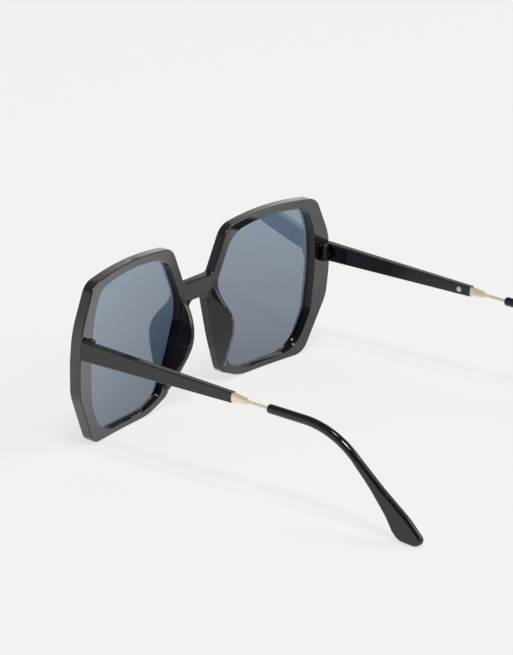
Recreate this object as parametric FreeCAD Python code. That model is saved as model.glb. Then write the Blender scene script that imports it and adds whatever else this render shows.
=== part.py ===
import FreeCAD, Part
import math
import os

# Oversized six-sided sunglasses: a moulded front with built-up nose pads, two smoke lenses,
# barrel hinges, and temples made of a bar, a metal ferrule, a bare wire and a paddle ear tip.
# Drawn upright first: X across with the wearer's left at +X, Y towards the ears, Z up from
# the lowest point of the rims. At the end the whole part leans back to stand on a table.

V = FreeCAD.Vector

# Front: overall sizes and its bow seen from above
front_width = 144.0
front_height = 61.2
front_depth = 3.9
front_edge_bevel = 0.5
middle_flat = 25.2
wrap_radius = 343.0
face_radius = 420.0

# Bridge and nose opening
bridge_top = 43.8
bridge_bottom = 36.6
bridge_top_round = 1.6
bridge_arch_round = 2.4
nose_gap_top = 8.8
nose_gap_middle = 20.2
nose_gap_bottom = 31.2

# Six-sided outline of a rim: its corners across from the middle, in from the side, or up
upper_corner_across = 15.6
upper_corner_drop = 2.0
top_crown_across = 40.0
top_crown_rise = 0.9
temple_corner_in = 7.8
temple_corner_drop = 2.2
side_upper_drop = 17.2
side_in = 0.7
side_bulge = 0.3
side_bulge_rise = 0.75
side_lower_height = 20.5
lower_corner_in = 11.1
lower_inner_across = 26.5
nose_low_height = 4.3
nose_middle_height = 18.0
rim_radii = [9.0, 7.0, 150.0, 6.0, 25.0, 60.0, 14.0, 6.5, 22.0, 5.0, 100.0]
opening_radii = [18.0, 12.0, 80.0, 6.5, 25.0, 60.0, 14.0, 13.0, 24.0, 5.5, 60.0]

# Width of the rim on each side of a lens, measured where the lens sits
rim_upper_inner = 4.3
rim_top = 3.5
rim_upper_outer = 5.8
rim_outer = 7.8
rim_lower_outer = 5.2
rim_bottom = 2.6
rim_lower_inner = 3.3
rim_nose = 4.8

# How much wider the rim opens at its back face
flare_nose = 0.2
flare_top = 0.4
flare_outer = 0.2
flare_bottom = 0.3
flare_before = 0.2
flare_behind = 2.0

# Lens, the lip of the front before it, and the groove that holds it
lens_thickness = 1.4
lens_lip = 0.6
groove_depth = 0.8
groove_clearance = 0.05

# Nose pads: height up the rim, reach behind the rim, outward spread of the edge
pad_stations = [
    (5.4, -0.4, 1.2),
    (8.6, 1.7, 1.0),
    (14.0, 3.9, 1.4),
    (20.0, 6.2, 2.3),
    (25.5, 7.2, 3.0),
    (29.5, 6.3, 3.2),
    (33.5, 4.0, 3.2),
    (38.0, 1.2, 3.4),
    (42.5, -0.4, 3.6),
]
pad_thickness = 2.3
pad_edge_bevel = 0.5
pad_root = 1.2
pad_edge_slope = 0.3
pad_wall_gap = 0.03

# Temple bar
temple_height = 37.85
bar_inset = 0.2
bar_length = 63.2
bar_thickness = 3.0
bar_end_thickness = 2.6
bar_height = 6.8
bar_end_height = 3.6
bar_edge_round = 0.45
bar_gap = 0.15

# Ferrule, wire and retaining pin
ferrule_length = 6.1
ferrule_height = 3.1
ferrule_thickness = 2.4
ferrule_start_round = 0.72
ferrule_end_diameter = 2.0
ferrule_end_round = 0.9
wire_diameter = 1.1
wire_bare_length = 8.5
wire_in_tip = 12.0
tang_length = 11.0
tang_height = 1.8
tang_thickness = 1.0
pin_from_bar_end = 4.5
pin_diameter = 0.8
pin_head_diameter = 2.0
pin_head_height = 0.4
pin_proud = 0.08
pin_end_cover = 0.6
fit_clearance = 0.02

# Ear tip: a round rod that bends down and spreads to a flat paddle with a slanted end
tip_diameter = 3.2
tip_front_round = 0.7
tip_straight = 14.35
tip_bend_radius = 32.0
tip_bend_angle = 43.0

# Paddle outline: distance along, distance above or below the rod's axis, corner radius
paddle_upper = [
    (12.0, 2.5, 80.0),
    (25.5, 4.3, 20.0),
    (34.1, 4.15, 1.9),
]
paddle_lower = [
    (9.0, 1.7, 60.0),
    (20.0, 2.95, 20.0),
    (24.6, 4.25, 4.0),
    (28.6, 4.25, 5.0),
    (34.1, -0.4, 4.0),
]
paddle_thickness = 2.9
paddle_edge_flat = 0.3

# Barrel hinge
knuckle_diameter = 2.6
hinge_height = 5.6
hinge_middle_height = 2.3
hinge_knuckle_gap = 0.1
hinge_side_gap = 0.25
hinge_back_gap = 0.4
front_plate_width = 3.0
front_plate_thickness = 0.9
front_plate_proud = 0.3
anchor_width = 2.0
anchor_height = 3.6
anchor_depth = 1.5
leaf_start = 2.0
leaf_length = 6.4
leaf_height = 4.4
leaf_thickness = 1.0
leaf_proud = 0.35
screw_diameter = 1.1
screw_head_diameter = 2.0
screw_head_height = 0.5
screw_head_bevel = 0.17
screw_slot_width = 0.3
screw_slot_depth = 0.25
hinge_running_clearance = 0.05

# Most of a straight run that its two corner arcs may take up, and how near counts as touching
run_share = 0.98
touching = 1e-4

# Values worked out from the sizes above
half_width = front_width / 2
half_flat = middle_flat / 2
lens_depth = front_depth - lens_lip - lens_thickness


def back_y(across, forward=0.0):
    """Y of the front's curved back face at a distance across, or of a face in front of it."""
    beyond = max(abs(across) - half_flat, 0.0)
    return wrap_radius - math.sqrt((wrap_radius + forward) ** 2 - beyond ** 2)


def front_plane(y):
    """Mapping of drawing points to the upright plane at depth y."""
    return lambda a, b: V(a, y, b)


def level_plane(z):
    """Mapping of drawing points to the level plane at height z."""
    return lambda a, b: V(a, b, z)


def fitted_reaches(points, radii):
    """How far each corner's arc reaches along its runs, limited to the length of those runs."""
    count = len(points)
    turns = []
    for index, here in enumerate(points):
        before = points[index - 1] - here
        after = points[(index + 1) % count] - here
        turns.append(math.tan(before.getAngle(after) / 2))
    reaches = [radius / turn for radius, turn in zip(radii, turns)]
    limits = [1.0] * count
    for index, here in enumerate(points):
        other = (index + 1) % count
        wanted = reaches[index] + reaches[other]
        room = (points[other] - here).Length * run_share
        if wanted > room:
            limits[index] = min(limits[index], room / wanted)
            limits[other] = min(limits[other], room / wanted)
    return [(reach * limit, turn) for reach, limit, turn in zip(reaches, limits, turns)]


def rounded_wire(corners, place):
    """Closed wire of straight runs and tangent arcs through (a, b, radius) corners."""
    count = len(corners)
    points = [V(a, b, 0) for a, b, _ in corners]
    runs = []
    for index, (reach, turn) in enumerate(fitted_reaches(points, [corner[2] for corner in corners])):
        here = points[index]
        if reach == 0:
            runs.append((here, None, here))
            continue
        before = (points[index - 1] - here).normalize()
        after = (points[(index + 1) % count] - here).normalize()
        inward = (before + after).normalize()
        radius = reach * turn
        middle = here + inward * (math.hypot(radius, reach) - radius)
        runs.append((here + before * reach, middle, here + after * reach))
    edges = []
    for index, (start, middle, end) in enumerate(runs):
        if middle is not None:
            arc_points = [place(p.x, p.y) for p in (start, middle, end)]
            edges.append(Part.Arc(*arc_points).toShape())
        following = runs[(index + 1) % count][0]
        edges.append(Part.LineSegment(place(end.x, end.y), place(following.x, following.y)).toShape())
    return Part.Wire(edges)


def prism(corners, front, back):
    """Solid of an upright outline, from depth front to depth back."""
    face = Part.Face(rounded_wire(corners, front_plane(front)))
    return face.extrude(V(0, back - front, 0))


def box(low, high):
    """Box between two corners."""
    size = high - low
    return Part.makeBox(size.x, size.y, size.z, low)


def mirrored(shape):
    """The same shape on the wearer's other side."""
    return shape.mirror(V(0, 0, 0), V(1, 0, 0))


def before_back(forward):
    """Radius and middle depth of a bowed surface a distance in front of the back face."""
    return wrap_radius + forward, forward


def behind_face(inset):
    """Radius and middle depth of a bowed surface a distance behind the front face."""
    return face_radius - inset, front_depth - inset


def bow_arc(bow, side, reversed_way=False):
    """Plan arc of a bowed surface on one side, to a little beyond the rim."""
    radius, depth = bow
    reach = math.asin((half_width + front_depth - half_flat) / radius)
    points = []
    for turn in (0.0, reach / 2, reach):
        across = half_flat + radius * math.sin(turn)
        points.append(V(side * across, radius - depth - radius * math.cos(turn), 0))
    if reversed_way:
        points.reverse()
    return points


def bow_slab(near, far):
    """Slab between two bowed surfaces, taller than the rims."""
    runs = [
        bow_arc(near, 1),
        bow_arc(far, 1, True),
        bow_arc(far, -1),
        bow_arc(near, -1, True),
    ]
    edges = []
    for index, points in enumerate(runs):
        edges.append(Part.Arc(*points).toShape())
        edges.append(Part.LineSegment(points[-1], runs[(index + 1) % len(runs)][0]).toShape())
    margin = front_depth
    slab = Part.Face(Part.Wire(edges)).extrude(V(0, 0, front_height + 2 * margin))
    slab.translate(V(0, 0, -margin))
    return slab


def rim_corners():
    """Outer corners of the wearer's left rim: across, up, corner radius. Clockwise from the nose."""
    side = half_width - side_in
    side_upper_height = front_height - side_upper_drop
    side_middle_height = (side_upper_height + side_lower_height) / 2 + side_bulge_rise
    places = [
        (nose_gap_top / 2, bridge_bottom),
        (upper_corner_across, front_height - upper_corner_drop),
        (top_crown_across, front_height + top_crown_rise),
        (half_width - temple_corner_in, front_height - temple_corner_drop),
        (side, side_upper_height),
        (half_width + side_bulge, side_middle_height),
        (side, side_lower_height),
        (half_width - lower_corner_in, 0.0),
        (lower_inner_across, 0.0),
        (nose_gap_bottom / 2, nose_low_height),
        (nose_gap_middle / 2, nose_middle_height),
    ]
    return [(a, b, radius) for (a, b), radius in zip(places, rim_radii)]


def rim_widths(flare=0.0):
    """Rim width along each run of rim_corners, flared by a share of the back opening."""
    return [
        rim_upper_inner - flare * flare_nose,
        rim_top - flare * flare_top,
        rim_top - flare * flare_top,
        rim_upper_outer - flare * flare_outer,
        rim_outer - flare * flare_outer,
        rim_outer - flare * flare_outer,
        rim_lower_outer - flare * flare_outer,
        rim_bottom - flare * flare_bottom,
        rim_lower_inner - flare * flare_bottom,
        rim_nose - flare * flare_nose,
        rim_nose - flare * flare_nose,
    ]


def crossing(point_a, way_a, point_b, way_b):
    """Point where two drawing lines cross."""
    across = way_a.x * way_b.y - way_a.y * way_b.x
    gap = point_b - point_a
    return point_a + way_a * ((gap.x * way_b.y - gap.y * way_b.x) / across)


def inset_corners(corners, widths, radii):
    """Corners moved inwards, each run by its own width."""
    lines = []
    count = len(corners)
    for index, width in enumerate(widths):
        start = V(*corners[index][:2], 0)
        way = V(*corners[(index + 1) % count][:2], 0) - start
        way.normalize()
        lines.append((start + V(way.y, -way.x, 0) * width, way))
    moved = []
    for index, radius in enumerate(radii):
        point = crossing(*lines[index - 1], *lines[index])
        moved.append((point.x, point.y, radius))
    return moved


def opening_corners(outward=0.0, flare=0.0):
    """Corners of the lens opening, moved outwards evenly and flared towards the back."""
    widths = [width - outward for width in rim_widths(flare)]
    return inset_corners(rim_corners(), widths, [radius + outward for radius in opening_radii])


def front_outline():
    """Outline of the whole front: both rims and the bridge between them."""
    rim = rim_corners()
    level = V(1, 0, 0)
    nose = V(*rim[0][:2], 0)
    top = crossing(V(0, bridge_top, 0), level, nose, V(*rim[1][:2], 0) - nose)
    arch = crossing(V(0, bridge_bottom, 0), level, nose, V(*rim[-1][:2], 0) - nose)
    half = [(top.x, top.y, bridge_top_round)] + rim[1:] + [(arch.x, arch.y, bridge_arch_round)]
    return half + [(-a, b, radius) for a, b, radius in reversed(half)]


def off_bow(point, bow):
    """How far a point lies in front of a bowed surface."""
    radius, depth = bow
    beyond = abs(point.x) - half_flat
    if beyond <= 0:
        return -point.y - depth
    return math.hypot(beyond, radius - depth - point.y) - radius


def is_rim_edge(edge):
    """True for an edge where the outline meets the front or back face."""
    first, last = edge.ParameterRange
    points = [edge.valueAt(first + (last - first) * share) for share in (0.1, 0.5, 0.9)]
    if all(abs(abs(point.x) - half_flat) < touching for point in points):
        return False
    on_back = all(abs(off_bow(point, before_back(0.0))) < touching for point in points)
    on_face = all(abs(off_bow(point, behind_face(0.0))) < touching for point in points)
    return on_back or on_face


def flare_cutter():
    """Cutter that widens the lens opening from the lens to beyond the back face."""
    chord = back_y(half_width) / (half_width - half_flat)
    middle = (half_flat + half_width) / 2
    middle_y = (back_y(middle) + back_y(half_width) / 2) / 2
    sections = []
    for flare in (-flare_before, flare_behind):
        plane_y = middle_y - lens_depth * (1 - flare)

        def place(a, b, plane_y=plane_y):
            return V(a, plane_y + (a - middle) * chord, b)

        sections.append(rounded_wire(opening_corners(0.0, flare), place))
    return Part.makeLoft(sections, True, True)


def along(corners, height):
    """Distance across at a height along a chain of corners."""
    for (a, b, _), (c, d, _) in zip(corners, corners[1:]):
        if min(b, d) <= height <= max(b, d):
            return a + (c - a) * (height - b) / (d - b)
    nearest = min(corners, key=lambda corner: abs(corner[1] - height))
    return nearest[0]


def bevelled_wire(corners, place):
    """Closed wire of straight runs through (a, b, bevel) corners, each cut back by its bevel."""
    points = []
    count = len(corners)
    for index, (a, b, bevel) in enumerate(corners):
        here = V(a, b, 0)
        if bevel == 0:
            points.append(here)
            continue
        for neighbour in (corners[index - 1], corners[(index + 1) % count]):
            way = V(*neighbour[:2], 0) - here
            points.append(here + way.normalize() * bevel)
    return Part.makePolygon([place(point.x, point.y) for point in points + points[:1]])


def nose_pad():
    """Built-up pad on the nose side of the wearer's left rim."""
    rim = rim_corners()
    opening = opening_corners()
    nose_line = rim[-2:] + rim[:2]
    opening_line = opening[-2:] + opening[:2]
    sections = []
    for height, reach, spread in pad_stations:
        nose = along(nose_line, height)
        root = along(opening_line, height) - pad_root / 2
        corners = [
            (nose + pad_wall_gap, -pad_root, 0),
            (nose + spread, reach, pad_edge_bevel),
            (nose + spread + pad_thickness, reach - pad_edge_slope, pad_edge_bevel),
            (root, -2 * pad_root, 0),
        ]
        sections.append(bevelled_wire(corners, level_plane(height)))
    return Part.makeLoft(sections, True, False)


# Hinge axis and temple line, shared by the pieces of both sides
bar_outer = half_width - bar_inset
bar_inner = bar_outer - bar_thickness
temple_x = bar_outer - bar_thickness / 2
knuckle_radius = knuckle_diameter / 2
hinge_x = bar_inner - hinge_side_gap - knuckle_radius
hinge_slope = math.asin((hinge_x - half_flat) / wrap_radius)
hinge_reach = knuckle_radius + hinge_back_gap
hinge_foot = V(hinge_x + hinge_reach * math.sin(hinge_slope), 0, temple_height)
hinge_foot.y = back_y(hinge_foot.x)
hinge_y = hinge_foot.y + hinge_reach * math.cos(hinge_slope)
bar_start = back_y(bar_outer)
bar_end = bar_start + bar_length
ferrule_end = bar_end + ferrule_length
tip_start = ferrule_end + wire_bare_length


def on_rim(shape):
    """Shape drawn on a flat back face, set on the curved back of the rim at the hinge."""
    turn = FreeCAD.Rotation(V(0, 0, 1), math.degrees(hinge_slope))
    shape.Placement = FreeCAD.Placement(hinge_foot, turn)
    return shape


def upright_cylinder(x, y, low, high, radius):
    """Cylinder along Z between two heights."""
    return Part.makeCylinder(radius, high - low, V(x, y, low))


def lengthwise_cylinder(low, high, radius):
    """Cylinder on the temple's centre line."""
    return Part.makeCylinder(radius, high - low, V(temple_x, low, temple_height), V(0, 1, 0))


def temple_box(low_y, high_y, thickness, height):
    """Box centred on the temple's centre line."""
    half = V(thickness / 2, 0, height / 2)
    centre = V(temple_x, 0, temple_height)
    return box(centre - half + V(0, low_y, 0), centre + half + V(0, high_y, 0))


def front_plate(clearance=0.0):
    """Plate and anchor foot of the front hinge, drawn on a flat back face."""
    outer = knuckle_radius - hinge_side_gap + clearance
    inner = outer - front_plate_width - 2 * clearance
    half_height = hinge_height / 2 + clearance
    sunk = front_plate_proud - front_plate_thickness - clearance
    plate = box(V(inner, sunk, -half_height), V(outer, front_plate_proud, half_height))
    half_anchor = V(anchor_width / 2 + clearance, 0, anchor_height / 2 + clearance)
    foot_top = V((inner + outer) / 2, sunk, 0)
    foot_end = foot_top - V(0, anchor_depth, 0)
    return plate.fuse(box(foot_end - half_anchor, foot_top + half_anchor)).removeSplitter()


def front_hinge():
    """Plate set in the rim with an upper and a lower knuckle."""
    hinge = front_plate()
    low = hinge_middle_height / 2 + hinge_knuckle_gap
    high = hinge_height / 2
    for bottom, top in ((low, high), (-high, -low)):
        barrel = upright_cylinder(0, hinge_reach, bottom, top, knuckle_radius)
        neck = box(V(-knuckle_radius, 0, bottom), V(knuckle_radius - hinge_side_gap, hinge_reach, top))
        hinge = hinge.fuse(barrel.fuse(neck))
    bore = upright_cylinder(0, hinge_reach, -high, high, screw_diameter / 2 + fit_clearance)
    return on_rim(hinge.cut(bore).removeSplitter())


def leaf_box(clearance=0.0):
    """Leaf that lies in the bar's inner face."""
    low = V(bar_inner - leaf_proud, hinge_y + leaf_start - clearance, temple_height)
    high = V(low.x + leaf_thickness + clearance, hinge_y + leaf_start + leaf_length + clearance, temple_height)
    tall = V(0, 0, leaf_height / 2 + clearance)
    return box(low - tall, high + tall)


def temple_hinge():
    """Leaf in the bar with the middle knuckle."""
    half = V(0, 0, hinge_middle_height / 2)
    axis = V(hinge_x, hinge_y, temple_height)
    barrel = upright_cylinder(axis.x, axis.y, (axis - half).z, (axis + half).z, knuckle_radius)
    neck_end = V(bar_inner - leaf_proud + leaf_thickness / 2, hinge_y + leaf_start + knuckle_radius / 2, axis.z)
    neck = box(axis - half, neck_end + half)
    hinge = leaf_box().fuse(barrel).fuse(neck)
    bore_radius = screw_diameter / 2 + hinge_running_clearance
    bore = upright_cylinder(axis.x, axis.y, (axis - half).z, (axis + half).z, bore_radius)
    return hinge.cut(bore).removeSplitter()


def neck_recess():
    """Room in the bar's inner face for the neck of the temple hinge."""
    half = V(0, 0, hinge_middle_height / 2 + hinge_side_gap)
    low = V(bar_inner - leaf_proud, hinge_y - hinge_side_gap, temple_height)
    high = V(bar_inner - leaf_proud + leaf_thickness / 2 + hinge_side_gap, hinge_y + leaf_start, temple_height)
    return box(low - half, high + half)


def hinge_screw():
    """Slotted screw through the knuckles."""
    top = temple_height + hinge_height / 2
    bottom = temple_height - hinge_height / 2
    shank = upright_cylinder(hinge_x, hinge_y, bottom, top, screw_diameter / 2)
    head_top = top + screw_head_height
    head = upright_cylinder(hinge_x, hinge_y, top, head_top, screw_head_diameter / 2)
    head = head.makeChamfer(screw_head_bevel, [head.Edges[0]])
    half_slot = V(screw_head_diameter, screw_slot_width / 2, 0)
    axis = V(hinge_x, hinge_y, head_top)
    slot = box(axis - half_slot - V(0, 0, screw_slot_depth), axis + half_slot + V(0, 0, screw_slot_depth))
    return shank.fuse(head).cut(slot).removeSplitter()


def section_wire(y, thickness, height, radius):
    """Upright rounded rectangle across the temple at depth y, flush with its outer face side."""
    half = height / 2
    corners = [
        (temple_x - thickness / 2, temple_height - half, radius),
        (temple_x + thickness / 2, temple_height - half, radius),
        (temple_x + thickness / 2, temple_height + half, radius),
        (temple_x - thickness / 2, temple_height + half, radius),
    ]
    return rounded_wire(corners, front_plane(y))


def pin_y():
    """Y of the pin that holds the tang."""
    return bar_end - pin_from_bar_end


def pin_inner_face():
    """X of the bar's inner face at the pin."""
    share = (pin_y() - bar_start) / bar_length
    return temple_x - (bar_thickness + (bar_end_thickness - bar_thickness) * share) / 2


def tang_pin(clearance=0.0):
    """Headed pin through the bar and the tang, from the inner face."""
    head_face = pin_inner_face() - pin_proud
    shank_end = temple_x + bar_end_thickness / 2 - pin_end_cover + clearance
    inwards = V(1, 0, 0)
    start = V(head_face, pin_y(), temple_height)
    head_length = pin_head_height + clearance
    head = Part.makeCylinder(pin_head_diameter / 2 + clearance, head_length, start, inwards)
    shank = Part.makeCylinder(pin_diameter / 2 + clearance, shank_end - head_face, start, inwards)
    return head.fuse(shank).removeSplitter()


def tapered_bar(front_y):
    """Bar that tapers in height and in thickness, with rounded long edges."""
    side = [
        V(0, front_y, temple_height - bar_height / 2),
        V(0, bar_end, temple_height - bar_end_height / 2),
        V(0, bar_end, temple_height + bar_end_height / 2),
        V(0, front_y, temple_height + bar_height / 2),
    ]
    plan = [
        V(temple_x - bar_thickness / 2, front_y, 0),
        V(temple_x - bar_end_thickness / 2, bar_end, 0),
        V(temple_x + bar_end_thickness / 2, bar_end, 0),
        V(temple_x + bar_thickness / 2, front_y, 0),
    ]
    side_solid = Part.Face(Part.makePolygon(side + side[:1])).extrude(V(2 * temple_x, 0, 0))
    plan_solid = Part.Face(Part.makePolygon(plan + plan[:1])).extrude(V(0, 0, 2 * temple_height))
    bar = side_solid.common(plan_solid)
    long_edges = [edge for edge in bar.Edges if edge.BoundBox.YLength > bar_length / 2]
    return bar.makeFillet(bar_edge_round, long_edges)


def temple_bar():
    """Tapered bar, mitred to the rim, with the hinge recess and the tang slot."""
    lead = back_y(bar_outer) - back_y(bar_inner) + bar_gap
    bar = tapered_bar(bar_start - lead)
    bar = bar.cut(bow_slab(before_back(-bar_gap), behind_face(0.0)))
    bar = bar.cut(leaf_box(fit_clearance)).cut(neck_recess())
    slot_start = bar_end - tang_length - fit_clearance
    slot = temple_box(slot_start, bar_end, tang_thickness + 2 * fit_clearance, tang_height + 2 * fit_clearance)
    return bar.cut(slot).cut(tang_pin(fit_clearance)).removeSplitter()


def core_wire():
    """Wire from a flat tang in the bar, through the ferrule, into the ear tip."""
    tang = temple_box(bar_end - tang_length, bar_end, tang_thickness, tang_height)
    wire = lengthwise_cylinder(bar_end, tip_start + wire_in_tip, wire_diameter / 2)
    pin_hole = tang_pin(fit_clearance)
    return tang.fuse(wire).cut(pin_hole).removeSplitter()


def ferrule():
    """Tapered collar between the bar and the bare wire."""
    sections = [
        section_wire(bar_end, ferrule_thickness, ferrule_height, ferrule_start_round),
        section_wire(ferrule_end, ferrule_end_diameter, ferrule_end_diameter, ferrule_end_round),
    ]
    collar = Part.makeLoft(sections, True, True)
    return collar.cut(lengthwise_cylinder(bar_end, ferrule_end, wire_diameter / 2 + fit_clearance))


def paddle(start, turned):
    """Flat end of the ear tip: an outline in the plane of the bend, with well rounded edges."""
    onward = V(0, math.cos(turned), -math.sin(turned))
    upward = V(0, math.sin(turned), math.cos(turned))
    face_place = start - V(paddle_thickness / 2, 0, 0)
    root = (0.0, tip_diameter / 2, 0)
    lower = [(a, -b, radius) for a, b, radius in [root] + paddle_lower]
    outline = [root] + paddle_upper + lower[::-1]
    wire = rounded_wire(outline, lambda a, b: face_place + onward * a + upward * b)
    blade = Part.Face(wire).extrude(V(paddle_thickness, 0, 0))
    rim_edges = []
    for edge in blade.Edges:
        flat = edge.BoundBox.XLength < touching
        if flat and (edge.CenterOfMass - start).dot(onward) > touching:
            rim_edges.append(edge)
    return blade.makeFillet((paddle_thickness - paddle_edge_flat) / 2, rim_edges)


def ear_tip():
    """Rod that bends down and spreads into a rounded paddle."""
    start = V(temple_x, tip_start, temple_height)
    bend = start + V(0, tip_straight, 0)
    bend_middle = bend - V(0, 0, tip_bend_radius)
    turned = math.radians(tip_bend_angle)
    bend_end = bend_middle + V(0, math.sin(turned), math.cos(turned)) * tip_bend_radius
    rod = lengthwise_cylinder(tip_start, bend.y, tip_diameter / 2)
    front_edges = [edge for edge in rod.Edges if edge.BoundBox.YMax < tip_start + touching]
    rod = rod.makeFillet(tip_front_round, front_edges)
    bend_face = Part.Face(Part.Wire(Part.makeCircle(tip_diameter / 2, bend, V(0, 1, 0))))
    bent = bend_face.revolve(bend_middle, V(1, 0, 0), -tip_bend_angle)
    tip = rod.fuse([bent, paddle(bend_end, turned)])
    bore_end = tip_start + wire_in_tip + fit_clearance
    return tip.cut(lengthwise_cylinder(tip_start, bore_end, wire_diameter / 2 + fit_clearance)).removeSplitter()


def front_frame():
    """Both rims and the bridge in one moulding, with lens grooves, nose pads and hinge seats."""
    before = -4 * front_depth
    behind = 4 * front_depth + back_y(half_width)
    front = prism(front_outline(), before, behind).common(bow_slab(before_back(0.0), behind_face(0.0)))
    front = front.makeChamfer(front_edge_bevel, [edge for edge in front.Edges if is_rim_edge(edge)])
    groove_back = behind_face(lens_lip + lens_thickness + groove_clearance)
    groove = prism(opening_corners(groove_depth + groove_clearance), before, behind)
    groove = groove.common(bow_slab(groove_back, behind_face(lens_lip - groove_clearance)))
    cutters = [prism(opening_corners(), before, behind), flare_cutter(), groove]
    cutters.append(on_rim(front_plate(fit_clearance)))
    pad = nose_pad().common(prism(front_outline(), before, behind))
    front = front.fuse([pad, mirrored(pad)])
    for cutter in cutters:
        front = front.cut([cutter, mirrored(cutter)])
    return front.removeSplitter()


def lens():
    """Smoke lens that follows the bow of the front and sits in the groove."""
    outline = prism(opening_corners(groove_depth), -4 * front_depth, 4 * front_depth + back_y(half_width))
    return outline.common(bow_slab(behind_face(lens_lip + lens_thickness), behind_face(lens_lip)))


def upright_pieces():
    """Every piece by node name, drawn upright."""
    makers = {
        "lens": lens,
        "front_hinge": front_hinge,
        "hinge_screw": hinge_screw,
        "temple_hinge": temple_hinge,
        "temple_bar": temple_bar,
        "tang_pin": tang_pin,
        "ferrule": ferrule,
        "core_wire": core_wire,
        "ear_tip": ear_tip,
    }
    pieces = {"front_frame": front_frame()}
    for name, maker in makers.items():
        left = maker()
        pieces[name + "_left"] = left
        pieces[name + "_right"] = mirrored(left)
    return pieces


def leaned(shape, lean):
    """Copy of a shape leaned back by an angle in degrees."""
    copy = shape.copy()
    copy.rotate(V(0, 0, 0), V(1, 0, 0), -lean)
    return copy


def standing_lean(pieces):
    """Angle that sets the rims and the ear tips on one level."""
    lean = 0.0
    for _ in range(5):
        rims = leaned(pieces["front_frame"], lean).optimalBoundingBox()
        tip = leaned(pieces["ear_tip_left"], lean).optimalBoundingBox()
        lean += math.degrees(math.atan2(tip.ZMin - rims.ZMin, tip.YMax - rims.YMin))
    return lean


def stand(pieces):
    """All pieces leaned back and set on the table, centred over the origin."""
    lean = standing_lean(pieces)
    stood = {name: leaned(shape, lean) for name, shape in pieces.items()}
    whole = FreeCAD.BoundBox()
    for shape in stood.values():
        whole.add(shape.optimalBoundingBox())
    shift = V(0, -whole.Center.y, -whole.ZMin)
    for shape in stood.values():
        shape.translate(shift)
    turn = FreeCAD.Rotation(V(1, 0, 0), -lean)
    axis_point = turn.multVec(V(hinge_x, hinge_y, temple_height)) + shift
    print("lean", lean, "size", whole.XLength, whole.YLength, whole.ZLength)
    print("hinge point", axis_point, "axis", turn.multVec(V(0, 0, 1)), "shift", shift)
    return stood


os.makedirs("parts", exist_ok=True)
for node, piece in stand(upright_pieces()).items():
    print(node, "valid", piece.isValid(), "solids", len(piece.Solids), "volume", round(piece.Volume, 3))
    piece.Solids[0].exportStep("parts/" + node + ".step")
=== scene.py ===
import math

import bpy
from mathutils import Matrix, Vector

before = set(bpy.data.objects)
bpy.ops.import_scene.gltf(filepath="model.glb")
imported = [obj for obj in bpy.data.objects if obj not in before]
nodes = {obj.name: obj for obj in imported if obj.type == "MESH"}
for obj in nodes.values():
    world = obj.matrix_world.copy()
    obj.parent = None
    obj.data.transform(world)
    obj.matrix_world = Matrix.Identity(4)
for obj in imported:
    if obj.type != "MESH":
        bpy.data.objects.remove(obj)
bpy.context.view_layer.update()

# View of the photograph: where the camera looks, from which side and how far away
camera_target = Vector((0.017459, -0.031235, 0.038566))
camera_azimuth = math.radians(126.614)
camera_elevation = math.radians(18.788)
camera_roll = math.radians(0.395)
camera_distance = 1.38991
camera_lens = 222.91
camera_sensor = 36.0

# Studio: pale walls that darken from the wall top to the ceiling, and towards the camera's side
wall_light = 0.85
wall_top = 0.1
ceiling_light = 0.2
ceiling_start = 0.75
camera_side_light = 0.25
camera_side_start = 0.25
camera_side_full = 0.85

# Soft boxes: place, width and power. All of them look at one point.
lit_point = Vector((0.0, 0.0, 0.03))
soft_boxes = {
    "high_box": (Vector((0.80, 0.54, 5.30)), 0.60, 28.0),
    "front_box": (Vector((1.81, 1.70, 4.80)), 0.82, 92.0),
    "side_box": (Vector((-2.40, 3.20, 3.00)), 3.00, 72.0),
}

# Floor: its own colour under the lamps, and the share of plain white that the eye sees
floor_size = 8.0
floor_colour = (0.90, 0.90, 0.895, 1.0)
floor_gloss = 0.9
floor_white_colour = (1.0, 1.0, 0.993, 1.0)
floor_white = 0.955
floor_even = 0.72

# Black plastics: strength of the orange peel's bump, clouds, dust, and hairlines that run three ways
peel_strength = 0.3
cloud_scale = 140.0
cloud_share = 0.35
dust_scale = 1100.0
dust_size = 0.09
hairline_ways = [
    (0.4, (260.0, 18.0, 260.0)),
    (1.9, (30.0, 300.0, 300.0)),
    (2.7, (220.0, 220.0, 16.0)),
]
hairline_depth = -0.6

# Front: the lacquer starts this far from the middle and is full a little further out, and it is
# thinner low on the rims
lacquer_start = 0.011
lacquer_full = 0.021
lacquer_heights = (0.0, 0.035)
lacquer_low = 0.4
lacquer_gloss = 0.05
lacquer_density = 1.5

# Temple bars: roughness that is added on their inner faces, and how squarely those look inwards
satin_gloss = 0.20
inner_facing = -0.5

# Metals: strength of the drawn lines' bump
line_strength = 0.25

# Gloss of plastics and metals: the middle part of the noise that it follows
noise_middle = (0.3, 0.7)

# Lenses: colour that is darker at the bottom and paler at the top, and a little paler to the outer
# side, polish, and a slight dish up and down about their middle
lens_heights = (0.004, 0.055)
lens_aside = 0.039
lens_tilt = 0.35
lens_bottom_colour = (0.056, 0.088, 0.144, 1.0)
lens_top_colour = (0.150, 0.216, 0.310, 1.0)
lens_gloss = (0.005, 0.03)
lens_haze_scale = 60.0
lens_hairline_gloss = 0.03
lens_density = 2.2
lens_middle = 0.030
lens_radius = 0.20

# Soft edges: edges that bend less than the crease angle shade as one rounded surface. A face is flat
# where it looks along a flat axis, or square to all of them, and flat faces keep their shading.
merge_distance = 0.000001
crease_angle = math.radians(50.0)
along_axis = 0.95
square_to_axes = 0.15
strong_face = 16384.0
flat_face_weight = 50


def feed(tree, socket, value):
    """Link an input to another node's output, or set it to a plain value."""
    if isinstance(value, bpy.types.NodeSocket):
        tree.links.new(value, socket)
    else:
        socket.default_value = value


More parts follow.
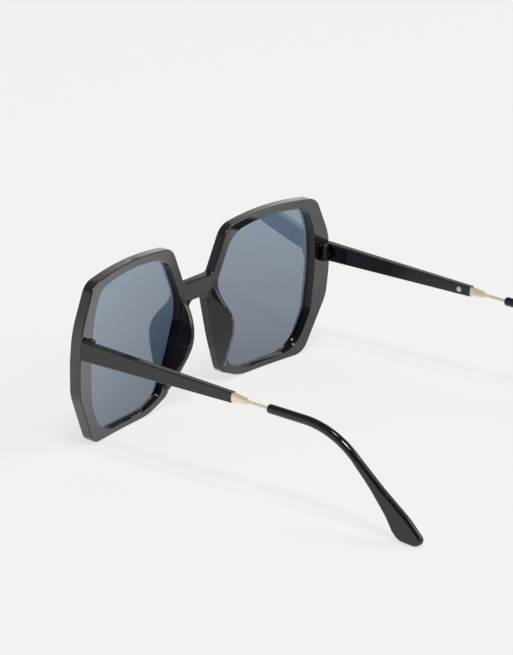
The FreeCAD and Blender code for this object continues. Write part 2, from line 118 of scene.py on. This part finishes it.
def add(tree, kind, inputs, **settings):
    """New node with its settings, and with inputs that are linked or set by name or number."""
    node = tree.nodes.new(kind)
    for label, value in settings.items():
        setattr(node, label, value)
    for label, value in inputs.items():
        feed(tree, node.inputs[label], value)
    return node


def maths(tree, operation, *values):
    """Result of a Math node on plain numbers or other nodes' outputs."""
    return add(tree, "ShaderNodeMath", dict(enumerate(values)), operation=operation).outputs[0]


def ramp(tree, value, span, target, blend="LINEAR"):
    """Result of a Map Range node that takes a value from one span to another."""
    inputs = {
        "Value": value,
        "From Min": span[0],
        "From Max": span[1],
        "To Min": target[0],
        "To Max": target[1],
    }
    return add(tree, "ShaderNodeMapRange", inputs, interpolation_type=blend).outputs["Result"]


def noise(tree, place, scale, detail, roughness):
    """Noise texture at a place."""
    inputs = {"Vector": place, "Scale": scale, "Detail": detail, "Roughness": roughness}
    return add(tree, "ShaderNodeTexNoise", inputs)


def mixed_colour(tree, share, first, second, blend="MIX"):
    """Result of a Mix node on two colours."""
    inputs = {"Factor": share, "A": first, "B": second}
    mix = add(tree, "ShaderNodeMix", inputs, data_type="RGBA", blend_type=blend)
    return mix.outputs["Result"]


def axes_of(tree, vector):
    """Outputs X, Y and Z of a vector."""
    return add(tree, "ShaderNodeSeparateXYZ", {"Vector": vector}).outputs


def placed_group(tree, group, inputs):
    """Outputs of a node group placed with its own values."""
    node = tree.nodes.new("ShaderNodeGroup")
    node.node_tree = group
    for label, value in inputs.items():
        feed(tree, node.inputs[label], value)
    return node.outputs


def group_of(name, inputs, outputs):
    """Empty shader node group with named sockets: its start's outputs and its end's inputs."""
    group = bpy.data.node_groups.new(name, "ShaderNodeTree")
    for label, kind, value in inputs:
        socket = group.interface.new_socket(label, in_out="INPUT", socket_type=kind)
        if value is not None:
            socket.default_value = value
    for label, kind in outputs:
        group.interface.new_socket(label, in_out="OUTPUT", socket_type=kind)
    start = group.nodes.new("NodeGroupInput")
    end = group.nodes.new("NodeGroupOutput")
    return group, start.outputs, end.inputs


def photo_camera():
    """Camera at the photograph's angle."""
    level = math.cos(camera_elevation)
    away = Vector((
        math.sin(camera_azimuth) * level,
        -math.cos(camera_azimuth) * level,
        math.sin(camera_elevation),
    ))
    right = Vector((0, 0, 1)).cross(away).normalized()
    up = away.cross(right)
    turn = Matrix((right, up, away)).transposed().to_4x4()
    roll = Matrix.Rotation(camera_roll, 4, "Z")
    data = bpy.data.cameras.new("photo_camera")
    data.lens = camera_lens
    data.sensor_fit = "AUTO"
    data.sensor_width = camera_sensor
    data.clip_start = 0.01
    camera = bpy.data.objects.new("photo_camera", data)
    camera.matrix_world = Matrix.Translation(camera_target + away * camera_distance) @ turn @ roll
    bpy.context.scene.collection.objects.link(camera)
    bpy.context.scene.camera = camera


def soft_box(name, place, width, power):
    """Square studio lamp that looks at the lit point."""
    data = bpy.data.lights.new(name, "AREA")
    data.shape = "RECTANGLE"
    data.size = width
    data.size_y = width
    data.energy = power
    lamp = bpy.data.objects.new(name, data)
    lamp.location = place
    lamp.rotation_euler = (lit_point - place).to_track_quat("-Z", "Y").to_euler()
    bpy.context.scene.collection.objects.link(lamp)


def studio_walls():
    """Pale walls all round, a darker ceiling and a dimmer room behind the camera."""
    world = bpy.data.worlds.new("studio_walls")
    world.use_nodes = True
    tree = world.node_tree
    direction = add(tree, "ShaderNodeTexCoord", {}).outputs["Generated"]
    upwards = axes_of(tree, direction)["Z"]
    camera_side = (math.sin(camera_azimuth), -math.cos(camera_azimuth), 0.0)
    inputs = {0: direction, 1: camera_side}
    toward = add(tree, "ShaderNodeVectorMath", inputs, operation="DOT_PRODUCT").outputs["Value"]
    height_span = (wall_top, ceiling_start)
    height = ramp(tree, upwards, height_span, (wall_light, ceiling_light), "SMOOTHSTEP")
    side_span = (camera_side_start, camera_side_full)
    dim = ramp(tree, toward, side_span, (1.0, camera_side_light), "SMOOTHSTEP")
    background = tree.nodes["Background"].inputs
    feed(tree, background["Color"], (1.0, 1.0, 1.0, 1.0))
    feed(tree, background["Strength"], maths(tree, "MULTIPLY", height, dim))
    bpy.context.scene.world = world


def pale_floor():
    """Plain pale table top, evenly white to the eye and in reflections, with a faint shadow left."""
    bpy.ops.mesh.primitive_plane_add(size=floor_size, location=(0, 0, 0))
    floor = bpy.context.object
    floor.name = "pale_floor"
    material = bpy.data.materials.new("pale_floor")
    material.use_nodes = True
    tree = material.node_tree
    shader = tree.nodes["Principled BSDF"]
    shader.inputs["Base Color"].default_value = floor_colour
    shader.inputs["Roughness"].default_value = floor_gloss
    shader.inputs["Specular IOR Level"].default_value = 0.0
    even = add(tree, "ShaderNodeEmission", {"Color": floor_white_colour, "Strength": floor_white})
    path = add(tree, "ShaderNodeLightPath", {}).outputs
    seen = maths(tree, "MAXIMUM", path["Is Camera Ray"], path["Is Glossy Ray"])
    shown = maths(tree, "MAXIMUM", seen, path["Is Transmission Ray"])
    inputs = {
        "Fac": maths(tree, "MULTIPLY", shown, floor_even),
        1: shader.outputs["BSDF"],
        2: even.outputs["Emission"],
    }
    blend = add(tree, "ShaderNodeMixShader", inputs).outputs["Shader"]
    feed(tree, tree.nodes["Material Output"].inputs["Surface"], blend)
    floor.data.materials.append(material)


def hairline_group():
    """Fine hairline scratches that run several ways."""
    group, start, end = group_of(
        "hairlines",
        [
            ("Vector", "NodeSocketVector", None),
            ("Scale", "NodeSocketFloat", 1.0),
            ("Width", "NodeSocketFloat", 0.012),
        ],
        [("Mask", "NodeSocketFloat")],
    )
    mask = 0.0
    for turn, stretch in hairline_ways:
        inputs = {
            "Vector": start["Vector"],
            "Rotation": (turn, turn * 0.7, turn * 1.3),
            "Scale": stretch,
        }
        place = add(group, "ShaderNodeMapping", inputs).outputs["Vector"]
        wander = noise(group, place, start["Scale"], 1.0, 0.4).outputs["Fac"]
        apart = maths(group, "ABSOLUTE", maths(group, "SUBTRACT", wander, 0.5))
        thin = ramp(group, apart, (0.0, start["Width"]), (1.0, 0.0), "SMOOTHSTEP")
        mask = maths(group, "MAXIMUM", mask, thin)
    feed(group, end["Mask"], mask)
    return group


def moulded_surface_group(hairlines):
    """Moulded plastic: cloudy colour and gloss, slight orange peel, hairlines and fine dust."""
    group, start, end = group_of(
        "moulded_surface",
        [
            ("Vector", "NodeSocketVector", None),
            ("Colour", "NodeSocketColor", (0.01, 0.01, 0.01, 1.0)),
            ("Dust Colour", "NodeSocketColor", (0.12, 0.12, 0.12, 1.0)),
            ("Dust Amount", "NodeSocketFloat", 0.03),
            ("Gloss Low", "NodeSocketFloat", 0.1),
            ("Gloss High", "NodeSocketFloat", 0.16),
            ("Hairline Gloss", "NodeSocketFloat", 0.1),
            ("Peel Scale", "NodeSocketFloat", 600.0),
        ],
        [
            ("Colour", "NodeSocketColor"),
            ("Roughness", "NodeSocketFloat"),
            ("Height", "NodeSocketFloat"),
        ],
    )
    place = start["Vector"]
    cloud = noise(group, place, cloud_scale, 4.0, 0.6).outputs
    peel = noise(group, place, start["Peel Scale"], 2.0, 0.5).outputs["Fac"]
    scratch = placed_group(group, hairlines, {"Vector": place, "Scale": 1.0, "Width": 0.010})["Mask"]
    specks = add(group, "ShaderNodeTexVoronoi", {"Vector": place, "Scale": dust_scale}).outputs
    draw = add(group, "ShaderNodeSeparateColor", {"Color": specks["Color"]}).outputs["Red"]
    chosen = maths(group, "GREATER_THAN", draw, maths(group, "SUBTRACT", 1.0, start["Dust Amount"]))
    small = maths(group, "LESS_THAN", specks["Distance"], dust_size)
    dust = maths(group, "MULTIPLY", chosen, small)
    clouded = mixed_colour(group, cloud_share, start["Colour"], cloud["Color"], "MULTIPLY")
    gloss = ramp(group, cloud["Fac"], noise_middle, (start["Gloss Low"], start["Gloss High"]))
    worn = maths(group, "MULTIPLY_ADD", scratch, start["Hairline Gloss"], gloss)
    feed(group, end["Colour"], mixed_colour(group, dust, clouded, start["Dust Colour"]))
    feed(group, end["Roughness"], worn)
    feed(group, end["Height"], maths(group, "MULTIPLY_ADD", scratch, hairline_depth, peel))
    return group


def drawn_metal_group():
    """Drawn or brushed metal: fine lines stretched along one way, with slight colour change."""
    group, start, end = group_of(
        "drawn_metal",
        [
            ("Vector", "NodeSocketVector", None),
            ("Colour", "NodeSocketColor", (0.8, 0.8, 0.8, 1.0)),
            ("Shade Colour", "NodeSocketColor", (0.6, 0.6, 0.6, 1.0)),
            ("Gloss Low", "NodeSocketFloat", 0.15),
            ("Gloss High", "NodeSocketFloat", 0.3),
        ],
        [
            ("Colour", "NodeSocketColor"),
            ("Roughness", "NodeSocketFloat"),
            ("Height", "NodeSocketFloat"),
        ],
    )
    lines = noise(group, start["Vector"], 1.0, 3.0, 0.6).outputs["Fac"]
    cloud = noise(group, start["Vector"], 0.12, 3.0, 0.6).outputs["Fac"]
    gloss = ramp(group, lines, noise_middle, (start["Gloss Low"], start["Gloss High"]))
    feed(group, end["Colour"], mixed_colour(group, cloud, start["Colour"], start["Shade Colour"]))
    feed(group, end["Roughness"], gloss)
    feed(group, end["Height"], lines)
    return group


def new_finish(name):
    """Material with a Principled shader, a bump and the coordinates of its object."""
    material = bpy.data.materials.new(name)
    material.use_nodes = True
    tree = material.node_tree
    shader = tree.nodes["Principled BSDF"]
    bump = tree.nodes.new("ShaderNodeBump")
    place = add(tree, "ShaderNodeTexCoord", {}).outputs["Object"]
    feed(tree, shader.inputs["Normal"], bump.outputs["Normal"])
    return material, tree, shader.inputs, bump.inputs, place


def cover(tree, shader, bump, surface, strength, depth):
    """Lead a surface group's colour, roughness and height into a finish."""
    feed(tree, shader["Base Color"], surface["Colour"])
    feed(tree, shader["Roughness"], surface["Roughness"])
    feed(tree, bump["Height"], surface["Height"])
    bump["Strength"].default_value = strength
    bump["Distance"].default_value = depth


def black_plastic(name, moulded, values, peel_depth, density):
    """Black moulded plastic; the denser, the brighter its polish."""
    material, tree, shader, bump, place = new_finish(name)
    surface = placed_group(tree, moulded, {"Vector": place, **values})
    cover(tree, shader, bump, surface, peel_strength, peel_depth)
    shader["IOR"].default_value = density
    return material


def lacquer_rims(material):
    """Clear lacquer on the rims that fades out towards the bridge, the nose pads and the bottom."""
    tree = material.node_tree
    shader = tree.nodes["Principled BSDF"].inputs
    place = axes_of(tree, add(tree, "ShaderNodeTexCoord", {}).outputs["Object"])
    aside = maths(tree, "ABSOLUTE", place["X"])
    outer = ramp(tree, aside, (lacquer_start, lacquer_full), (0.0, 1.0), "SMOOTHSTEP")
    high = ramp(tree, place["Z"], lacquer_heights, (lacquer_low, 1.0), "SMOOTHSTEP")
    feed(tree, shader["Coat Weight"], maths(tree, "MULTIPLY", outer, high))
    shader["Coat Roughness"].default_value = lacquer_gloss
    shader["Coat IOR"].default_value = lacquer_density


def satin_inner_faces(material):
    """Satin in place of polish on the faces of the bars that lie against the head."""
    tree = material.node_tree
    roughness = tree.nodes["Principled BSDF"].inputs["Roughness"]
    polish = roughness.links[0].from_socket
    coordinates = add(tree, "ShaderNodeTexCoord", {}).outputs
    side = maths(tree, "SIGN", axes_of(tree, coordinates["Object"])["X"])
    outwards = maths(tree, "MULTIPLY", axes_of(tree, coordinates["Normal"])["X"], side)
    inner = maths(tree, "LESS_THAN", outwards, inner_facing)
    feed(tree, roughness, maths(tree, "MULTIPLY_ADD", inner, satin_gloss, polish))


def metal_finish(name, drawn, values, stretch, line_depth):
    """Drawn metal whose fine lines run along the stretched way."""
    material, tree, shader, bump, place = new_finish(name)
    mapping = add(tree, "ShaderNodeMapping", {"Vector": place, "Scale": stretch})
    surface = placed_group(tree, drawn, {"Vector": mapping.outputs["Vector"], **values})
    cover(tree, shader, bump, surface, line_strength, line_depth)
    shader["Metallic"].default_value = 1.0
    return material


def smoke_lens(hairlines):
    """Blue-grey smoke lens: darker towards the bottom, with a trace of haze and fine hairlines."""
    material, tree, shader, bump, place = new_finish("smoke_lens")
    axes = axes_of(tree, place)
    height = axes["Z"]
    outwards = maths(tree, "SUBTRACT", maths(tree, "ABSOLUTE", axes["X"]), lens_aside)
    tilted = maths(tree, "MULTIPLY_ADD", outwards, lens_tilt, height)
    # Colour goes from darker at the bottom to paler at the top, and a little paler to the outer side
    fade = ramp(tree, tilted, lens_heights, (0.0, 1.0))
    haze = noise(tree, place, lens_haze_scale, 4.0, 0.6).outputs["Fac"]
    gloss = ramp(tree, haze, (0.0, 1.0), lens_gloss)
    scratch = placed_group(tree, hairlines, {"Vector": place, "Scale": 0.6, "Width": 0.006})["Mask"]
    worn = maths(tree, "MULTIPLY_ADD", scratch, lens_hairline_gloss, gloss)
    facing = add(tree, "ShaderNodeNewGeometry", {}).outputs["True Normal"]
    side = maths(tree, "SIGN", axes_of(tree, facing)["Y"])
    above = maths(tree, "SUBTRACT", height, lens_middle)
    dished = maths(tree, "MULTIPLY", maths(tree, "MULTIPLY", above, above), side)
    feed(tree, shader["Base Color"], mixed_colour(tree, fade, lens_bottom_colour, lens_top_colour))
    feed(tree, shader["Roughness"], worn)
    feed(tree, bump["Height"], maths(tree, "MULTIPLY", dished, 0.5 / lens_radius))
    bump["Strength"].default_value = 1.0
    bump["Distance"].default_value = 1.0
    shader["IOR"].default_value = lens_density
    shader["Transmission Weight"].default_value = 1.0
    return material


def crease_nodes(name, flat_axes):
    """Geometry nodes that keep only real creases sharp and mark flat faces, not the small bevels."""
    group = bpy.data.node_groups.new(name, "GeometryNodeTree")
    group.is_modifier = True
    group.interface.new_socket("Geometry", in_out="INPUT", socket_type="NodeSocketGeometry")
    group.interface.new_socket("Geometry", in_out="OUTPUT", socket_type="NodeSocketGeometry")
    start = group.nodes.new("NodeGroupInput").outputs["Geometry"]
    end = group.nodes.new("NodeGroupOutput").inputs["Geometry"]

    inputs = {"Geometry": start, "Shade Smooth": True}
    faces = add(group, "GeometryNodeSetShadeSmooth", inputs, domain="FACE").outputs["Geometry"]
    bend = add(group, "GeometryNodeInputMeshEdgeAngle", {}).outputs["Unsigned Angle"]
    inputs = {"A": bend, "B": crease_angle}
    gentle = add(group, "FunctionNodeCompare", inputs, data_type="FLOAT", operation="LESS_EQUAL")
    inputs = {"Geometry": faces, "Shade Smooth": gentle.outputs["Result"]}
    edges = add(group, "GeometryNodeSetShadeSmooth", inputs, domain="EDGE").outputs["Geometry"]

    normal = axes_of(group, add(group, "GeometryNodeInputNormal", {}).outputs["Normal"])
    most = 0.0
    for axis in flat_axes:
        most = maths(group, "MAXIMUM", most, maths(group, "ABSOLUTE", normal[axis]))
    square = maths(group, "LESS_THAN", most, square_to_axes)
    straight = maths(group, "GREATER_THAN", most, along_axis)
    flat = maths(group, "MAXIMUM", square, straight)
    inputs = {
        "Geometry": edges,
        "Name": "__mod_weightednormals_faceweight",
        "Value": maths(group, "MULTIPLY_ADD", flat, 2.0 * strong_face, -strong_face),
    }
    mark = add(group, "GeometryNodeStoreNamedAttribute", inputs, data_type="INT", domain="FACE")
    feed(group, end, mark.outputs["Geometry"])
    return group


def pieces_of(kind):
    """The pieces of a kind: the one in the middle, or the left and the right one."""
    return [nodes[name] for name in (kind, kind + "_left", kind + "_right") if name in nodes]


def dress(kind, material):
    """Give the pieces of a kind their finish."""
    for piece in pieces_of(kind):
        piece.data.materials.clear()
        piece.data.materials.append(material)


def join_faces(kind, creases):
    """Join the triangles of the pieces of a kind, so that they shade as one surface."""
    for piece in pieces_of(kind):
        merged = piece.modifiers.new("merged_points", "WELD")
        merged.merge_threshold = merge_distance
        creased = piece.modifiers.new("creases", "NODES")
        creased.node_group = creases


def soften_edges(kind):
    """Shade the small bevels of the pieces of a kind as rounded edges."""
    for piece in pieces_of(kind):
        softened = piece.modifiers.new("soft_edges", "WEIGHTED_NORMAL")
        softened.keep_sharp = True
        softened.use_face_influence = True
        softened.weight = flat_face_weight


photo_camera()
studio_walls()
for box_name, (place, width, power) in soft_boxes.items():
    soft_box(box_name, place, width, power)
pale_floor()

hairlines = hairline_group()
moulded = moulded_surface_group(hairlines)
drawn = drawn_metal_group()
frame_black = black_plastic(
    "frame_black_plastic",
    moulded,
    {
        "Colour": (0.0075, 0.0067, 0.0098, 1.0),
        "Gloss Low": 0.045,
        "Gloss High": 0.085,
        "Peel Scale": 500.0,
    },
    peel_depth=0.000004,
    density=1.5,
)
lacquer_rims(frame_black)
bar_black = black_plastic(
    "bar_black_plastic",
    moulded,
    {
        "Colour": (0.0070, 0.0065, 0.0084, 1.0),
        "Gloss Low": 0.05,
        "Gloss High": 0.09,
        "Peel Scale": 450.0,
    },
    peel_depth=0.000004,
    density=1.6,
)
satin_inner_faces(bar_black)
tip_black = black_plastic(
    "tip_black_plastic",
    moulded,
    {
        "Colour": (0.0065, 0.0060, 0.0068, 1.0),
        "Gloss Low": 0.035,
        "Gloss High": 0.07,
        "Peel Scale": 400.0,
    },
    peel_depth=0.000002,
    density=1.56,
)
wire_gold = metal_finish(
    "wire_gold",
    drawn,
    {
        "Colour": (0.99, 0.92, 0.79, 1.0),
        "Shade Colour": (0.94, 0.83, 0.65, 1.0),
        "Gloss Low": 0.58,
        "Gloss High": 0.70,
    },
    stretch=(9000.0, 90.0, 9000.0),
    line_depth=0.000002,
)
ferrule_gold = metal_finish(
    "ferrule_gold",
    drawn,
    {
        "Colour": (0.99, 0.90, 0.75, 1.0),
        "Shade Colour": (0.94, 0.81, 0.62, 1.0),
        "Gloss Low": 0.46,
        "Gloss High": 0.58,
    },
    stretch=(9000.0, 90.0, 9000.0),
    line_depth=0.000002,
)
hinge_steel = metal_finish(
    "hinge_steel",
    drawn,
    {
        "Colour": (0.034, 0.034, 0.038, 1.0),
        "Shade Colour": (0.022, 0.022, 0.025, 1.0),
        "Gloss Low": 0.2,
        "Gloss High": 0.35,
    },
    stretch=(6000.0, 6000.0, 800.0),
    line_depth=0.000004,
)
screw_steel = metal_finish(
    "screw_steel",
    drawn,
    {
        "Colour": (0.11, 0.11, 0.12, 1.0),
        "Shade Colour": (0.075, 0.075, 0.082, 1.0),
        "Gloss Low": 0.28,
        "Gloss High": 0.40,
    },
    stretch=(6000.0, 6000.0, 6000.0),
    line_depth=0.000003,
)
pin_steel = metal_finish(
    "pin_steel",
    drawn,
    {
        "Colour": (0.70, 0.69, 0.67, 1.0),
        "Shade Colour": (0.55, 0.54, 0.52, 1.0),
        "Gloss Low": 0.15,
        "Gloss High": 0.30,
    },
    stretch=(6000.0, 6000.0, 6000.0),
    line_depth=0.000003,
)
lens_smoke = smoke_lens(hairlines)

dress("front_frame", frame_black)
dress("temple_bar", bar_black)
dress("ear_tip", tip_black)
dress("lens", lens_smoke)
dress("ferrule", ferrule_gold)
dress("core_wire", wire_gold)
dress("front_hinge", hinge_steel)
dress("temple_hinge", hinge_steel)
dress("tang_pin", pin_steel)
dress("hinge_screw", screw_steel)

front_creases = crease_nodes("front_creases", ["Y"])
bar_creases = crease_nodes("bar_creases", ["X", "Y", "Z"])
join_faces("front_frame", front_creases)
for kind in ("temple_bar", "ferrule", "ear_tip"):
    join_faces(kind, bar_creases)
for kind in ("front_frame", "temple_bar", "ferrule"):
    soften_edges(kind)

bpy.context.scene.view_settings.view_transform = "Standard"
